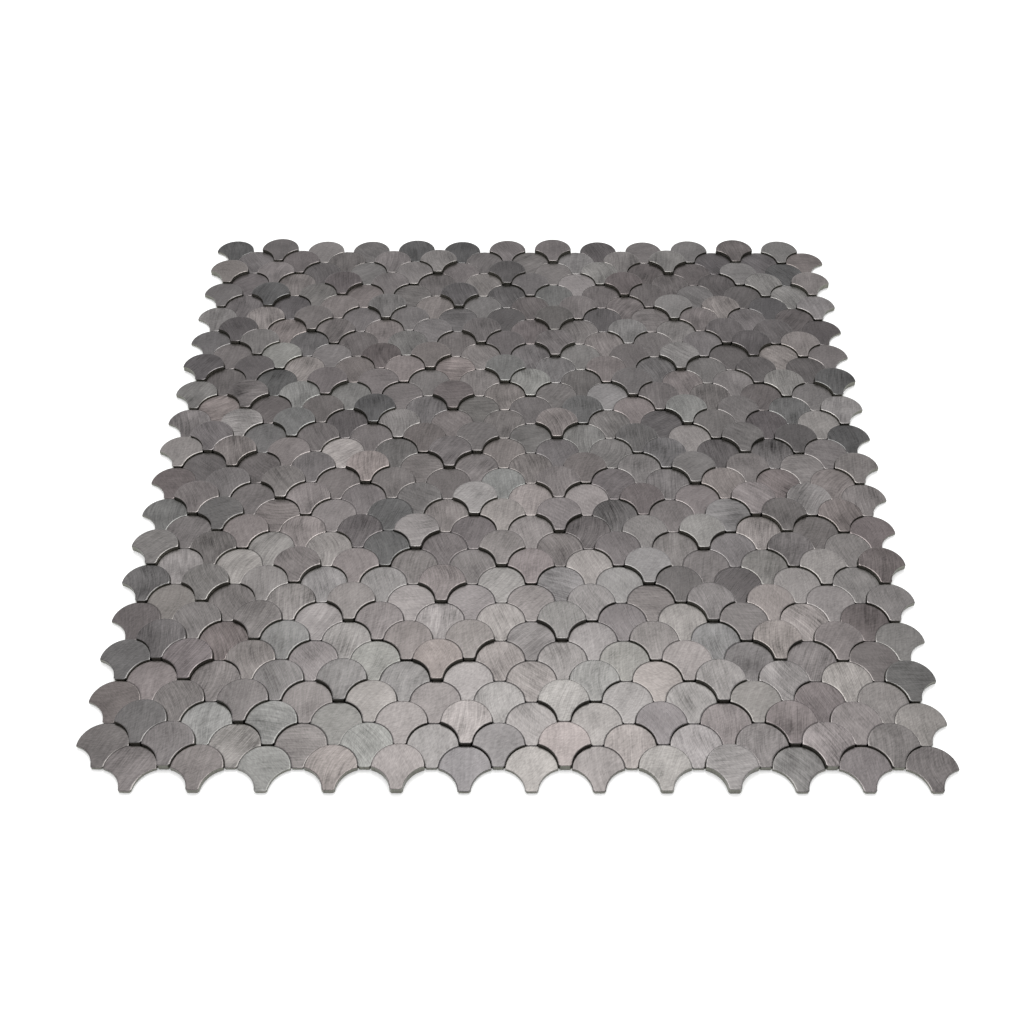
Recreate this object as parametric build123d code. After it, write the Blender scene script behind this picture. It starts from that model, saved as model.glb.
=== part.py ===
"""Self-adhesive metal mosaic sheet: fan-shaped chips of three thicknesses on an adhesive sheet with a release liner.

Millimetres. The sheet lies liner down and chips up (+Z). The rows of chips run along X, and the round head of each
chip points to +Y. The origin is the middle of the sheet's underside.
"""

from build123d import *
from math import sqrt
import os

# Driving dimensions of a chip
head_radius = 9.0       # nominal round head, and the hollow flank that takes the next row's head
tip_width = 4.5         # nominal width of the blunt foot
tip_chamfer = 0.6       # cut corners of the foot
joint = 0.12            # open joint between neighbouring chips
thin_chip = 1.0
middle_chip = 1.75
thick_chip = 2.5

# Driving dimensions of the sheet and its backing
columns = 13
rows = 34
adhesive_thickness = 0.5
liner_thickness = 0.15
backing_setback = 1.0   # from the chips' nominal outline in to the cut edge of the adhesive and liner

# Laying plan, from the back row to the front row. Two strips of four rows repeat down the sheet.
# A digit is a chip, left to right: 0 is thin, 1 is middle and 2 is thick.
strips = {
    "A": ("1210020001000", "0012000102101", "0120100200100", "2010120010210"),
    "B": ("0200101200121", "0101200012000", "2100102010010", "0021001020012"),
}
strip_order = "BABAABAAB"

# Worked out from the driving dimensions
column_pitch = 2 * head_radius + tip_width
row_pitch = head_radius
row_shift = column_pitch / 4
chip_heights = {"0": thin_chip, "1": middle_chip, "2": thick_chip}
chip_underside = liner_thickness + adhesive_thickness
laying_plan = [row for strip in strip_order for row in strips[strip]]


def head_centre(row, column):
    """Centre of a chip's round head. Every second row stands half a column pitch to the right of its neighbours."""
    shift = row_shift if row % 2 else -row_shift
    x = (column - (columns - 1) / 2) * column_pitch + shift
    y = ((rows - 1) / 2 - row) * row_pitch
    return x, y


def chip_outline():
    """Outline of one chip about its head's centre: round head, short ears, hollow flanks and a blunt foot."""
    head = head_radius - joint / 2
    flank = head_radius + joint / 2
    flank_x = column_pitch / 2
    ear_y = -row_pitch + sqrt(flank**2 - (flank_x - head) ** 2)
    foot_y = -row_pitch + joint / 2
    ankle_y = foot_y + tip_chamfer
    ankle_x = flank_x - sqrt(flank**2 - (ankle_y + row_pitch) ** 2)
    toe_x = ankle_x - tip_chamfer
    middle_y = (ear_y + ankle_y) / 2
    middle_x = flank_x - sqrt(flank**2 - (middle_y + row_pitch) ** 2)
    with BuildLine() as outline:
        ThreePointArc((head, 0), (0, head), (-head, 0))
        Line((-head, 0), (-head, ear_y))
        ThreePointArc((-head, ear_y), (-middle_x, middle_y), (-ankle_x, ankle_y))
        Polyline((-ankle_x, ankle_y), (-toe_x, foot_y), (toe_x, foot_y), (ankle_x, ankle_y))
        ThreePointArc((ankle_x, ankle_y), (middle_x, middle_y), (head, ear_y))
        Line((head, ear_y), (head, 0))
    return make_face(outline.line)


def chip_row(row):
    """The chips of one row, each a solid plate of its own thickness, side by side on the adhesive."""
    plates = {digit: extrude(chip_outline(), height) for digit, height in chip_heights.items()}
    chips = []
    plan = laying_plan[row % len(laying_plan)]
    for column in range(columns):
        x, y = head_centre(row, column)
        chips.append(Pos(x, y, chip_underside) * plates[plan[column % len(plan)]])
    return Compound(children=chips)


def backing_outline():
    """Outline that the adhesive and its liner are cut to: the sheet's scalloped outline, set back all round."""
    head = Circle(head_radius - backing_setback)
    hollow = Circle(head_radius + backing_setback)
    head_width = 2 * (head_radius - backing_setback)
    foot_width = tip_width - 2 * backing_setback
    left, back_row = head_centre(0, 0)
    right, front_row = head_centre(rows - 1, columns - 1)
    back_edge = back_row - backing_setback
    front_edge = front_row + backing_setback
    block = Rectangle(right - left + foot_width, back_edge - front_edge)
    middle = Pos((left + right) / 2, (back_edge + front_edge) / 2) * block
    lobes = []
    for row in range(rows - 1):
        side = 1 if row % 2 else -1
        x, y = head_centre(row, columns - 1 if row % 2 else 0)
        neck_length = y - max(y - row_pitch, front_edge)
        neck = Pos(x + side * head_width / 4, y - neck_length / 2) * Rectangle(head_width / 2, neck_length)
        lobes.append(Pos(x, y) * head + neck - Pos(x + side * column_pitch / 2, y - row_pitch) * hollow)
    for column in range(1, columns):
        lobes.append(Pos(*head_centre(0, column)) * head)
    for column in range(columns):
        x, y = head_centre(rows - 1, column)
        lobe = Pos(x, y) * head + Pos(x, front_edge - row_pitch / 2) * Rectangle(head_width, row_pitch)
        for side in (-1, 1):
            lobe -= Pos(x + side * column_pitch / 2, y - row_pitch) * hollow
        lobes.append(lobe)
    return middle + lobes


def adhesive_sheet():
    return Pos(0, 0, liner_thickness) * extrude(backing_outline(), adhesive_thickness)


def release_liner():
    return extrude(backing_outline(), liner_thickness)


os.makedirs("parts", exist_ok=True)
for row in range(rows):
    export_step(chip_row(row), f"parts/chips_row_{row + 1:02d}.step")
export_step(adhesive_sheet(), "parts/adhesive_sheet.step")
export_step(release_liner(), "parts/release_liner.step")
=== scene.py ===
import bpy
import random
from math import atan2, cos, pi, radians, sin, sqrt
from mathutils import Matrix, Vector


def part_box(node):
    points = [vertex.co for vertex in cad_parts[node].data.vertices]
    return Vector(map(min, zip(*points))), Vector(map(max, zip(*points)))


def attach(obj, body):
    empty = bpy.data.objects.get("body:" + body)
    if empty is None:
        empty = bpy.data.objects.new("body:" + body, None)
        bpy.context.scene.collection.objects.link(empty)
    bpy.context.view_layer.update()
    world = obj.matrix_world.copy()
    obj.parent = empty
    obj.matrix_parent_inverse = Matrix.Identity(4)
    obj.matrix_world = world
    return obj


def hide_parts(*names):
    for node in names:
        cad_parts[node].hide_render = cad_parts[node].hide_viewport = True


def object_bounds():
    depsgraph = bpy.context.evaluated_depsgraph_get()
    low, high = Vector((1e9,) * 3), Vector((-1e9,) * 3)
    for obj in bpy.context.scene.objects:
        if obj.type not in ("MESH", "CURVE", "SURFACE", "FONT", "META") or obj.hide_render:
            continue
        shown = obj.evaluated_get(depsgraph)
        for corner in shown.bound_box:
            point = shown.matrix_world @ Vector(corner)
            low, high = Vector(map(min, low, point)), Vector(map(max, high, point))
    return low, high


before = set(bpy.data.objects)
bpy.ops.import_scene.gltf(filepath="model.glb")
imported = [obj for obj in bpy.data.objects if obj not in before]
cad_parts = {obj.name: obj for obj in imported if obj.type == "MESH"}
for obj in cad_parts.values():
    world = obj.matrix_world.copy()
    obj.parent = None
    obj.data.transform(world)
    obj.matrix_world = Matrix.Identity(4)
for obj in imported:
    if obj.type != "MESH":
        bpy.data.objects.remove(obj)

cad_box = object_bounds()


# Release liner. A sheet of siliconed kraft paper under the adhesive, cut with it to the sheet's scalloped
# outline and peeled off when the tile is laid. It is glazed smooth, with faint fibres.
mm = 0.001      # in metres
fibre_width = 0.4 * mm
fibre_relief = 0.03 * mm
cloud_width = 25 * mm


def linear(colour):
    """An sRGB hex colour as the linear colour that a shader socket takes."""
    values = [int(colour[k:k + 2], 16) / 255 for k in (1, 3, 5)]
    return [v / 12.92 if v <= 0.04045 else ((v + 0.055) / 1.055) ** 2.4 for v in values] + [1.0]


def new_material(name):
    """An empty node material, with its principled shader and its output already joined."""
    material = bpy.data.materials.new(name)
    material.use_nodes = True
    material.node_tree.nodes.clear()
    shader = add(material, "ShaderNodeBsdfPrincipled")
    output = add(material, "ShaderNodeOutputMaterial")
    material.node_tree.links.new(shader.outputs["BSDF"], output.inputs["Surface"])
    return material, shader


def add(material, kind, inputs=None, **settings):
    """A node with its settings. Each input is a value, or another node's output to link from."""
    node = material.node_tree.nodes.new(kind)
    for name, value in settings.items():
        setattr(node, name, value)
    for name, value in (inputs or {}).items():
        if isinstance(value, bpy.types.NodeSocket):
            material.node_tree.links.new(value, node.inputs[name])
        else:
            node.inputs[name].default_value = value
    return node


# Kraft paper, glazed between rollers and siliconed: pale, faintly clouded, with a soft sheen. Its real
# fibres are about 0.03 mm thick, too fine to show, so they are drawn coarser.
liner_paper, paper = new_material("siliconed_kraft_paper")
object_place = add(liner_paper, "ShaderNodeTexCoord").outputs["Object"]
fibres = add(liner_paper, "ShaderNodeTexNoise",
             {"Vector": object_place, "Scale": 1 / fibre_width, "Detail": 4.0, "Roughness": 0.7})
clouds = add(liner_paper, "ShaderNodeTexNoise",
             {"Vector": object_place, "Scale": 1 / cloud_width, "Detail": 2.0})
speckle = add(liner_paper, "ShaderNodeMath", {0: fibres.outputs["Fac"], 1: clouds.outputs["Fac"]},
              operation="MULTIPLY")
paper_colour = add(liner_paper, "ShaderNodeMix",
                   {"Factor": speckle.outputs[0], "A": linear("#e9e2d0"), "B": linear("#c9bd9f")},
                   data_type="RGBA")
paper_grain = add(liner_paper, "ShaderNodeBump",
                  {"Height": fibres.outputs["Fac"], "Strength": 0.25, "Distance": fibre_relief})
liner_paper.node_tree.links.new(paper_colour.outputs["Result"], paper.inputs["Base Color"])
liner_paper.node_tree.links.new(paper_grain.outputs["Normal"], paper.inputs["Normal"])
paper.inputs["Roughness"].default_value = 0.42
paper.inputs["IOR"].default_value = 1.5
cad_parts["release_liner"].data.materials.clear()
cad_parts["release_liner"].data.materials.append(liner_paper)


# Adhesive sheet. A black foam film, tacky on both faces, cut a little inside the chips' outline. It is dull
# and finely pored, and shows only as the dark bed at the bottom of the joints.
pore_width = 0.25 * mm
pore_relief = 0.05 * mm

# Blown black polyethylene film: matt, with pores about 0.1 mm wide that are drawn a little coarser.
foam_film, foam = new_material("black_foam_film")
foam_place = add(foam_film, "ShaderNodeTexCoord").outputs["Object"]
pores = add(foam_film, "ShaderNodeTexNoise",
            {"Vector": foam_place, "Scale": 1 / pore_width, "Detail": 3.0})
foam_colour = add(foam_film, "ShaderNodeMix",
                  {"Factor": pores.outputs["Fac"], "A": linear("#16171a"), "B": linear("#2b2c2e")},
                  data_type="RGBA")
foam_pores = add(foam_film, "ShaderNodeBump",
                 {"Height": pores.outputs["Fac"], "Strength": 0.4, "Distance": pore_relief})
foam_film.node_tree.links.new(foam_colour.outputs["Result"], foam.inputs["Base Color"])
foam_film.node_tree.links.new(foam_pores.outputs["Normal"], foam.inputs["Normal"])
foam.inputs["Roughness"].default_value = 0.8
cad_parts["adhesive_sheet"].data.materials.clear()
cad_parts["adhesive_sheet"].data.materials.append(foam_film)


# Chips. Aluminium plate of three thicknesses, brushed on one face, dyed dark grey and punched to fans, then
# laid face up on the adhesive in staggered rows with an open joint. Each was punched from its own place on
# the plate, so its brushing runs its own way. The punch rolls the face over at the rim and burnishes it.

# Sizes in millimetres
head_radius = 8.94      # the round head
flank_radius = 9.06     # the hollow flanks, which take the next row's heads with an open joint of 0.12
foot_front = 8.94       # from the head's centre down to the foot's blunt end
foot_chamfer = 0.6
row_pitch = (head_radius + flank_radius) / 2
column_pitch = 22.5
columns = 13
edge_width = 0.4        # the rolled rim, in from the outline
edge_drop = 0.1         # how far it falls below the face at the outline
face_margin = 0.1       # one more ring, so that the flat face shades flat up to the rim

# How finely the arcs and the rim's curve are divided
head_steps = 28
flank_steps = 12
edge_steps = 4


def fan_outline():
    """A chip's outline about its head's centre, from the right ear over the head and round the foot."""
    flank_x = column_pitch / 2
    ear_y = -row_pitch + sqrt(flank_radius**2 - (flank_x - head_radius) ** 2)
    ankle_y = -foot_front + foot_chamfer
    ear_angle = atan2(ear_y, head_radius)
    head_turn = pi - 2 * ear_angle
    head = []
    for k in range(head_steps + 1):
        angle = ear_angle + head_turn * k / head_steps
        head.append((head_radius * cos(angle), head_radius * sin(angle)))
    top = atan2(head[-1][1] + row_pitch, head[-1][0] + flank_x)
    low = atan2(ankle_y + row_pitch, sqrt(flank_radius**2 - (ankle_y + row_pitch) ** 2))
    left = []
    for k in range(1, flank_steps + 1):
        angle = top + (low - top) * k / flank_steps
        left.append((-flank_x + flank_radius * cos(angle), -row_pitch + flank_radius * sin(angle)))
    left.append((left[-1][0] + foot_chamfer, -foot_front))
    return head + left + [(-x, y) for x, y in reversed(left)]


def inward(points):
    """For each point of a closed outline, the step that moves both its sides inwards by one."""
    steps = []
    for k, (x, y) in enumerate(points):
        before = points[k - 1]
        after = points[(k + 1) % len(points)]
        a = Vector((x - before[0], y - before[1])).normalized()
        b = Vector((after[0] - x, after[1] - y)).normalized()
        normal = Vector((-a.y - b.y, a.x + b.x)).normalized()
        steps.append(normal / normal.dot(Vector((-a.y, a.x))))
    return steps


outline = fan_outline()
inward_steps = inward(outline)

# Rings of a chip from its underside up the side and over the rim: how far in, and how far below the face
rings = [(0, None)]
for k in range(edge_steps + 1):
    rings.append((edge_width * k / edge_steps, edge_drop * (1 - k / edge_steps) ** 2))
rings.append((edge_width + face_margin, 0))


def chip_tops(node):
    """A row's line of head centres, its underside, and each chip's place on the line and face height."""
    low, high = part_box(node)
    first = (low[0] + high[0]) / 2 - (columns - 1) / 2 * column_pitch * mm
    corners = [v.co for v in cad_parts[node].data.vertices]
    tops = []
    for column in range(columns):
        x = first + column * column_pitch * mm
        tops.append((x, max(v.z for v in corners if abs(v.x - x) < head_radius * mm)))
    return low[1] + foot_front * mm, low[2], tops


# The few chips whose dye took lighter or darker; of the pale ones, (32, 3) and (33, 5) at the front are
# paler as a painted highlight, where the overhead box blows them white. Rows count from the back, and
# places from the left.
pale_and_highlit_chips = {(2, 5), (3, 9), (4, 12), (8, 9), (10, 2), (12, 7), (12, 12), (13, 3), (14, 10), (15, 2),
              (20, 6), (22, 10), (24, 12), (32, 2), (32, 3), (33, 5)}
charcoal_chips = {(1, 1), (1, 5), (1, 6), (3, 13), (5, 2), (12, 2), (12, 13), (14, 4), (16, 13), (21, 5),
                  (23, 5)}
brown_chips = {(4, 3), (13, 6), (20, 9), (24, 13), (27, 13), (29, 2), (31, 12), (32, 11)}

# Most chips lie with the plate's grain down the sheet, some across it and the rest askew, in degrees
lengthwise_share = 0.72
crosswise_share = 0.1
lengthwise_grain, lengthwise_spread = 4, 15
crosswise_grain, other_spread = 90, 12
skew_grain = 38

# Tones are as the eye sees them, with 1 in the middle, and the display power turns them to amounts of light
usual_tone, tone_spread = 0.99, 0.098
darkest, palest = 0.82, 1.15
pale_tones, charcoal_tones, brown_tones = (1.12, 1.17), (0.8, 0.86), (0.84, 0.88)
display_power = 2.2

# The dye's warmth runs from 0, cool, to 1, warm, and its violet cast from 0, none, to 1
usual_warmth, warmth_spread = 0.55, 0.17
pale_warmths, charcoal_warmth, brown_warmth = (0.1, 0.45), 0.1, 0.9
usual_violet, violet_in_dark, violet_spread = 0.15, 0.45, 0.05

# How much the brush lines bend, how strongly they show, and how long a plate was, in millimetres
curve_spread = 0.012
faintest, strongest = 0.5, 1.4
plate_length = 400

# What differs from plate to plate, kept as values on the chips' points
plate_values = ("grain_bend", "plate_tone", "plate_warmth", "plate_violet", "streak_depth", "plate_place")

# One seed, so that every run lays the same sheet
draw = random.Random(8)


def brushing(row, number):
    """The grain's turn where a chip was cut, and the plate's values there, in the order of their names."""
    way = draw.random()
    if way < lengthwise_share:
        grain = draw.gauss(lengthwise_grain, lengthwise_spread)
    elif way < lengthwise_share + crosswise_share:
        grain = draw.gauss(crosswise_grain, other_spread)
    else:
        grain = draw.choice((-skew_grain, skew_grain)) + draw.gauss(0, other_spread)
    tone = min(max(draw.gauss(usual_tone, tone_spread), darkest), palest)
    warmth = draw.gauss(usual_warmth, warmth_spread)
    # Pale dye, and on two front chips a painted highlight
    if (row, number) in pale_and_highlit_chips:
        tone, warmth = draw.uniform(*pale_tones), draw.uniform(*pale_warmths)
    if (row, number) in charcoal_chips:
        tone, warmth = draw.uniform(*charcoal_tones), charcoal_warmth
    if (row, number) in brown_chips:
        tone, warmth = draw.uniform(*brown_tones), brown_warmth
    violet = max(0.0, draw.gauss(usual_violet + violet_in_dark * (1 - tone), violet_spread))
    curve = draw.gauss(0, curve_spread)
    depth = draw.uniform(faintest, strongest)
    place = draw.uniform(0, plate_length)
    return radians(grain), (curve, tone ** display_power, warmth, violet, depth, place)


# Aluminium, brushed with an abrasive belt and dyed grey in the anodising bath. The belt's lines spread each
# highlight across the grain, so neighbours differ in brightness with their grain. The dye takes unevenly
# from plate to plate, from warm to cool, with a violet cast where it is deep. Real brush lines are about
# 0.05 mm wide, too fine to show, so the finest are drawn coarser.
brushed_top, metal = new_material("brushed_dyed_aluminium")
brush_place = add(brushed_top, "ShaderNodeUVMap", uv_map="brushing").outputs["UV"]
across_along = add(brushed_top, "ShaderNodeSeparateXYZ", {"Vector": brush_place})
# The plate's values, and the rim's weight, which rubs the dye thin and paints a highlight along the rim
bend, plate_tone, plate_warmth, plate_violet, streak_depth, plate_place, rim_wear_and_glint = [
    add(brushed_top, "ShaderNodeAttribute", attribute_name=name).outputs["Fac"]
    for name in (*plate_values, "rim_wear_and_painted_glint")]
along_squared = add(brushed_top, "ShaderNodeMath",
                    {0: across_along.outputs["Y"], 1: across_along.outputs["Y"]}, operation="MULTIPLY")
across = add(brushed_top, "ShaderNodeMath",
             {0: along_squared.outputs[0], 1: bend, 2: across_along.outputs["X"]}, operation="MULTIPLY_ADD")
grain_place = add(brushed_top, "ShaderNodeCombineXYZ",
                  {"X": across.outputs[0], "Y": across_along.outputs["Y"], "Z": plate_place})


def streaks(width, length, detail, turn=0.0):
    """Noise drawn out along the grain, or at a turn from it, in streaks of that many millimetres."""
    turned = add(brushed_top, "ShaderNodeVectorRotate", {"Vector": grain_place.outputs[0], "Angle": turn},
                 rotation_type="Z_AXIS")
    place = add(brushed_top, "ShaderNodeVectorMath",
                {0: turned.outputs[0], 1: (1 / width, 1 / length, 1.0)}, operation="MULTIPLY")
    noise = add(brushed_top, "ShaderNodeTexNoise",
                {"Vector": place.outputs[0], "Scale": 1.0, "Detail": detail, "Roughness": 0.6})
    return noise.outputs["Fac"]


# Brush lines, bundles of them, the dye's slow change over the plate, and scratches that cross the lines
fine = streaks(width=0.35, length=7.0, detail=3.0)
broad = streaks(width=1.0, length=9.0, detail=1.0)
patch = streaks(width=9.0, length=12.0, detail=1.0)
crossing = streaks(width=0.45, length=1.5, detail=3.0, turn=radians(52))

# Their weights beside the bundles. Each noise is 0.5 in its middle, which is taken off the sum again.
fine_weight = 2.2
patch_weight = 1.6
crossing_weight = 2.0
streak_contrast = 0.5
lines = add(brushed_top, "ShaderNodeMath", {0: fine, 1: fine_weight, 2: broad}, operation="MULTIPLY_ADD")
clouded = add(brushed_top, "ShaderNodeMath", {0: patch, 1: patch_weight, 2: lines.outputs[0]},
              operation="MULTIPLY_ADD")
clouded_evenly = add(brushed_top, "ShaderNodeMath",
                     {0: clouded.outputs[0], 1: (fine_weight + patch_weight + 1) / 2}, operation="SUBTRACT")
deepened = add(brushed_top, "ShaderNodeMath", {0: clouded_evenly.outputs[0], 1: streak_depth},
               operation="MULTIPLY")
scuffed = add(brushed_top, "ShaderNodeMath", {0: crossing, 1: crossing_weight, 2: deepened.outputs[0]},
              operation="MULTIPLY_ADD")
scuffed_evenly = add(brushed_top, "ShaderNodeMath", {0: scuffed.outputs[0], 1: crossing_weight / 2},
                     operation="SUBTRACT")
streaked = add(brushed_top, "ShaderNodeMath", {0: scuffed_evenly.outputs[0], 1: streak_contrast, 2: 1.0},
               operation="MULTIPLY_ADD")

# The rim is this much lighter: partly the dye rubbed thin on the burnished rim, partly a painted highlight
# for the glint along the rolled rim
painted_rim_glint = 0.28
streaks_and_rim_glint = add(brushed_top, "ShaderNodeMath", {0: rim_wear_and_glint, 1: painted_rim_glint, 2: streaked.outputs[0]},
                 operation="MULTIPLY_ADD")
light = add(brushed_top, "ShaderNodeMath", {0: streaks_and_rim_glint.outputs[0], 1: plate_tone}, operation="MULTIPLY")
dye = add(brushed_top, "ShaderNodeMix",
          {"Factor": plate_warmth, "A": linear("#676866"), "B": linear("#716967")}, data_type="RGBA")
deep_dye = add(brushed_top, "ShaderNodeMix",
               {"Factor": plate_violet, "A": dye.outputs["Result"], "B": linear("#6d6870")},
               data_type="RGBA")
dyed = add(brushed_top, "ShaderNodeVectorMath", {0: deep_dye.outputs["Result"], "Scale": light.outputs[0]},
           operation="SCALE")

# Lines and scratches have depth too
scratch_relief = 0.05 * mm
scratch_height = add(brushed_top, "ShaderNodeMath", {0: fine, 1: crossing}, operation="ADD")
scratched = add(brushed_top, "ShaderNodeBump",
                {"Height": scratch_height.outputs[0], "Strength": 0.22, "Distance": scratch_relief})

# A coarser brushed plate is both paler and rougher. The burnished rim is the smoothest.
least_rough, line_rough, tone_rough, rim_smooth = 0.1, 0.2, 0.15, -0.14
rough_streaks = add(brushed_top, "ShaderNodeMath", {0: fine, 1: line_rough, 2: least_rough},
                    operation="MULTIPLY_ADD")
rough_face = add(brushed_top, "ShaderNodeMath", {0: plate_tone, 1: tone_rough, 2: rough_streaks.outputs[0]},
                 operation="MULTIPLY_ADD")
rough = add(brushed_top, "ShaderNodeMath", {0: rim_wear_and_glint, 1: rim_smooth, 2: rough_face.outputs[0]},
            operation="MULTIPLY_ADD")
grain_tangent = add(brushed_top, "ShaderNodeTangent", direction_type="UV_MAP", uv_map="brushing")
brushed_top.node_tree.links.new(dyed.outputs[0], metal.inputs["Base Color"])
brushed_top.node_tree.links.new(rough.outputs[0], metal.inputs["Roughness"])
brushed_top.node_tree.links.new(scratched.outputs["Normal"], metal.inputs["Normal"])
brushed_top.node_tree.links.new(grain_tangent.outputs["Tangent"], metal.inputs["Tangent"])
metal.inputs["Metallic"].default_value = 1.0
metal.inputs["Anisotropic"].default_value = 0.45

# The punched side of the plate: bare grey aluminium with upright drag marks from the punch, drawn coarser
# than the real ones of about 0.05 mm.
drag_width = 0.3 * mm
drag_length = 3 * mm
drag_relief = 0.05 * mm
cut_side, cut = new_material("punched_aluminium_side")
cut_place = add(cut_side, "ShaderNodeTexCoord").outputs["Object"]
drag = add(cut_side, "ShaderNodeVectorMath",
           {0: cut_place, 1: (1 / drag_width, 1 / drag_width, 1 / drag_length)}, operation="MULTIPLY")
drag_marks = add(cut_side, "ShaderNodeTexNoise", {"Vector": drag.outputs[0], "Scale": 1.0, "Detail": 2.0})
cut_colour = add(cut_side, "ShaderNodeMix",
                 {"Factor": drag_marks.outputs["Fac"], "A": linear("#4b4b44"), "B": linear("#82827a")},
                 data_type="RGBA")
cut_bump = add(cut_side, "ShaderNodeBump",
               {"Height": drag_marks.outputs["Fac"], "Strength": 0.3, "Distance": drag_relief})
cut_side.node_tree.links.new(cut_colour.outputs["Result"], cut.inputs["Base Color"])
cut_side.node_tree.links.new(cut_bump.outputs["Normal"], cut.inputs["Normal"])
cut.inputs["Metallic"].default_value = 1.0
cut.inputs["Roughness"].default_value = 0.35


def chip_points():
    """A chip's points from its underside up and in over the rim: place, fall from the face, and the rim's
    weight for its wear and its painted highlight.
    """
    points = []
    for level, (inset, drop) in enumerate(rings):
        # The rim's weight runs from 1 at the outline to 0 where the face begins, for its wear and its
        # painted highlight
        glint_and_wear_here = max(0.0, 1 - inset / edge_width) if level else 0.0
        for (x, y), step in zip(outline, inward_steps):
            points.append((x + step[0] * inset, y + step[1] * inset, drop, glint_and_wear_here))
    return points


def chip_faces():
    """A chip's faces as its points' numbers, each with its metal: the side, the rim, face and underside."""
    count = len(outline)
    faces = []
    for level in range(len(rings) - 1):
        for k in range(count):
            a = level * count + k
            b = level * count + (k + 1) % count
            faces.append(((a, b, b + count, a + count), cut_side if level == 0 else brushed_top))
    faces.append((tuple((len(rings) - 1) * count + k for k in range(count)), brushed_top))
    faces.append((tuple(reversed(range(count))), cut_side))
    return faces


# Each row's chips are one mesh. A chip's grain turns its map coordinates, which are in millimetres.
sharp_angle = radians(30)
chip_metals = [brushed_top, cut_side]
one_chip, one_chip_faces = chip_points(), chip_faces()
for row, node in enumerate(sorted(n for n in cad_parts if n.startswith("chips_row_")), 1):
    y, underside, tops = chip_tops(node)
    vertices, faces, metals, uvs = [], [], [], []
    values = {name: [] for name in (*plate_values, "rim_wear_and_painted_glint")}
    for number, (x, top) in enumerate(tops, 1):
        grain, plate = brushing(row, number)
        start = len(vertices)
        for across_chip, up_chip, drop, glint_and_wear_here in one_chip:
            z = underside if drop is None else top - drop * mm
            vertices.append((x + across_chip * mm, y + up_chip * mm, z))
            uvs.append((across_chip * cos(grain) + up_chip * sin(grain),
                        up_chip * cos(grain) - across_chip * sin(grain)))
            values["rim_wear_and_painted_glint"].append(glint_and_wear_here)
        for name, value in zip(plate_values, plate):
            values[name] += [value] * len(one_chip)
        for corners, face_metal in one_chip_faces:
            faces.append(tuple(start + k for k in corners))
            metals.append(chip_metals.index(face_metal))
    mesh = bpy.data.meshes.new(node.replace("chips", "fan_chips"))
    mesh.from_pydata(vertices, [], faces)
    mesh.polygons.foreach_set("material_index", metals)
    mesh.polygons.foreach_set("use_smooth", [True] * len(faces))
    mesh.set_sharp_from_angle(angle=sharp_angle)
    layer = mesh.uv_layers.new(name="brushing")
    for loop in mesh.loops:
        layer.uv[loop.index].vector = uvs[loop.vertex_index]
    for name, each in values.items():
        mesh.attributes.new(name, "FLOAT", "POINT").data.foreach_set("value", each)
    for chip_metal in chip_metals:
        mesh.materials.append(chip_metal)
    laid = bpy.data.objects.new(mesh.name, mesh)
    bpy.context.scene.collection.objects.link(laid)
    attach(laid, "root")
    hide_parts(node)


# Floor and light. A matt white board that the sheet lies on, in a white room with a soft box overhead, a
# little behind the sheet, and a low one in front that catches the rolled rims. The board glows for the
# camera and in reflections only, so that it shows as white and keeps the sheet's shadow.
half_floor = 3.0
floor_gap = 0.02 * mm
glow = 0.2
white_board, board = new_material("white_board")
board.inputs["Base Color"].default_value = linear("#fafafa")
board.inputs["Roughness"].default_value = 0.9
board.inputs["Specular IOR Level"].default_value = 0.0
board.inputs["Emission Color"].default_value = linear("#ffffff")
ray = add(white_board, "ShaderNodeLightPath")
seen = add(white_board, "ShaderNodeMath",
           {0: ray.outputs["Is Camera Ray"], 1: ray.outputs["Is Glossy Ray"]}, operation="MAXIMUM")
seen_or_through = add(white_board, "ShaderNodeMath",
                      {0: seen.outputs[0], 1: ray.outputs["Is Transmission Ray"]}, operation="MAXIMUM")
board_glow = add(white_board, "ShaderNodeMath", {0: seen_or_through.outputs[0], 1: glow},
                 operation="MULTIPLY")
white_board.node_tree.links.new(board_glow.outputs[0], board.inputs["Emission Strength"])
floor_mesh = bpy.data.meshes.new("floor")
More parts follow.
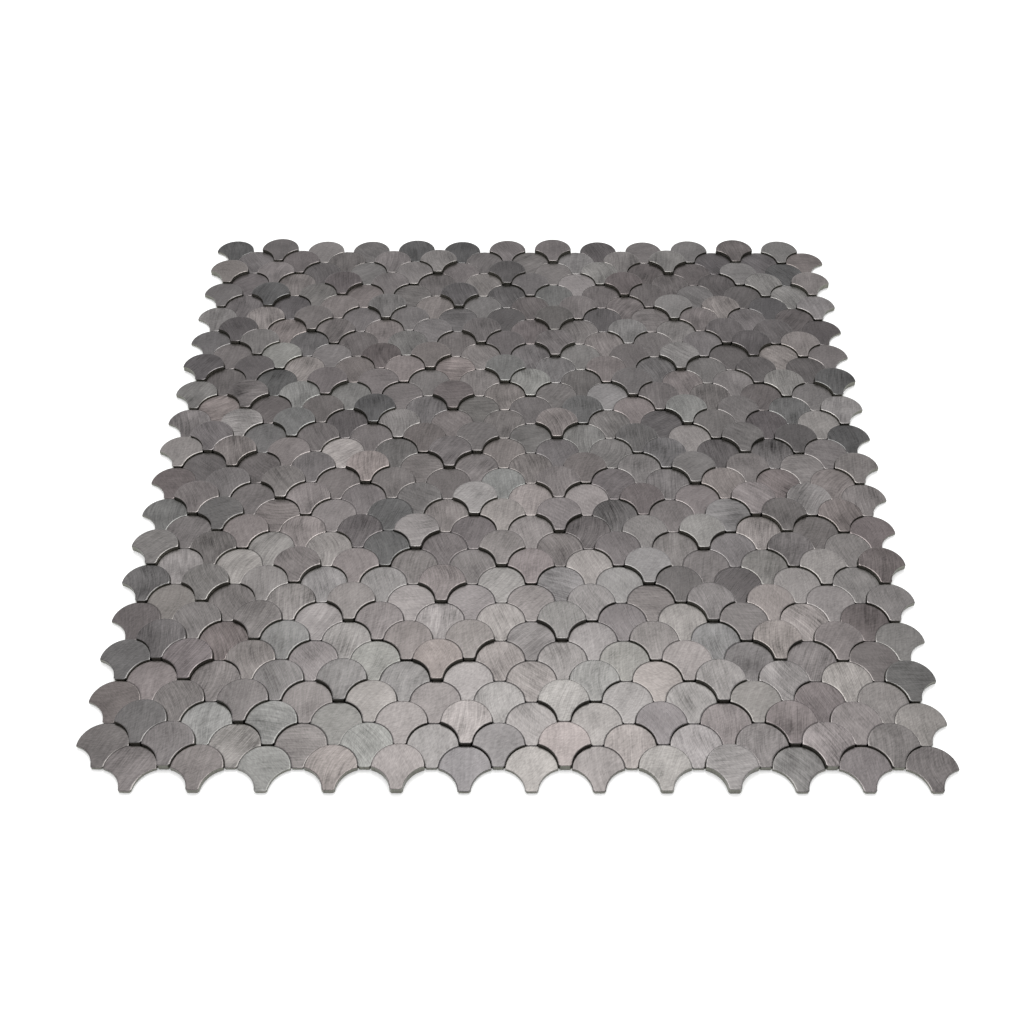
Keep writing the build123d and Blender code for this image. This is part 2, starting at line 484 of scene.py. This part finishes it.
floor_mesh.from_pydata([(-half_floor, -half_floor, 0), (half_floor, -half_floor, 0),
                        (half_floor, half_floor, 0), (-half_floor, half_floor, 0)], [], [(0, 1, 2, 3)])
floor_mesh.materials.append(white_board)
floor = bpy.data.objects.new("floor", floor_mesh)
bpy.context.scene.collection.objects.link(floor)
floor.location.z = cad_box[0][2] - floor_gap

room = bpy.data.worlds.new("white_room")
room.use_nodes = True
room.node_tree.nodes["Background"].inputs["Color"].default_value = linear("#ffffff")
room.node_tree.nodes["Background"].inputs["Strength"].default_value = 1.0
bpy.context.scene.world = room


def soft_box(name, place, aim, width, length, watts, tint):
    """A rectangular lamp at a place, aimed at a point, with its sizes in metres."""
    lamp = bpy.data.lights.new(name, "AREA")
    lamp.color = tint
    lamp.shape = "RECTANGLE"
    lamp.size = width
    lamp.size_y = length
    lamp.energy = watts
    box = bpy.data.objects.new(name, lamp)
    box.location = place
    box.rotation_euler = (Vector(aim) - Vector(place)).to_track_quat("-Z", "Y").to_euler()
    bpy.context.scene.collection.objects.link(box)


soft_box("overhead_box", place=(0.0, 0.335, 0.95), aim=(0, -0.05, 0), width=0.5, length=0.53, watts=3.5,
         tint=(0.985, 1.0, 0.97))
soft_box("front_box", place=(0, -1.1, 0.35), aim=(0, 0, 0), width=1.2, length=0.4, watts=1.2,
         tint=(1, 1, 1))


# Camera. It stands in front of the sheet and looks down on it at about 46 degrees, rolled by a third of a
# degree. The small shift sets the sheet a little off the middle of the frame, as it is in the photograph.
camera_place = Vector((2.93, -382.87, 373.45)) * mm
camera_aim = Vector((4.61, -25.29, 2.0)) * mm
camera_roll = radians(0.305)
camera_data = bpy.data.cameras.new("camera")
camera_data.sensor_width = 36
camera_data.lens = 44.75
camera_data.shift_x = -0.013
camera_data.shift_y = -0.011
camera = bpy.data.objects.new("camera", camera_data)
aimed = (camera_aim - camera_place).to_track_quat("-Z", "Y").to_matrix()
turned = aimed @ Matrix.Rotation(camera_roll, 3, "Z")
camera.matrix_world = Matrix.Translation(camera_place) @ turned.to_4x4()
bpy.context.scene.collection.objects.link(camera)
bpy.context.scene.camera = camera
bpy.context.scene.view_settings.view_transform = "Standard"
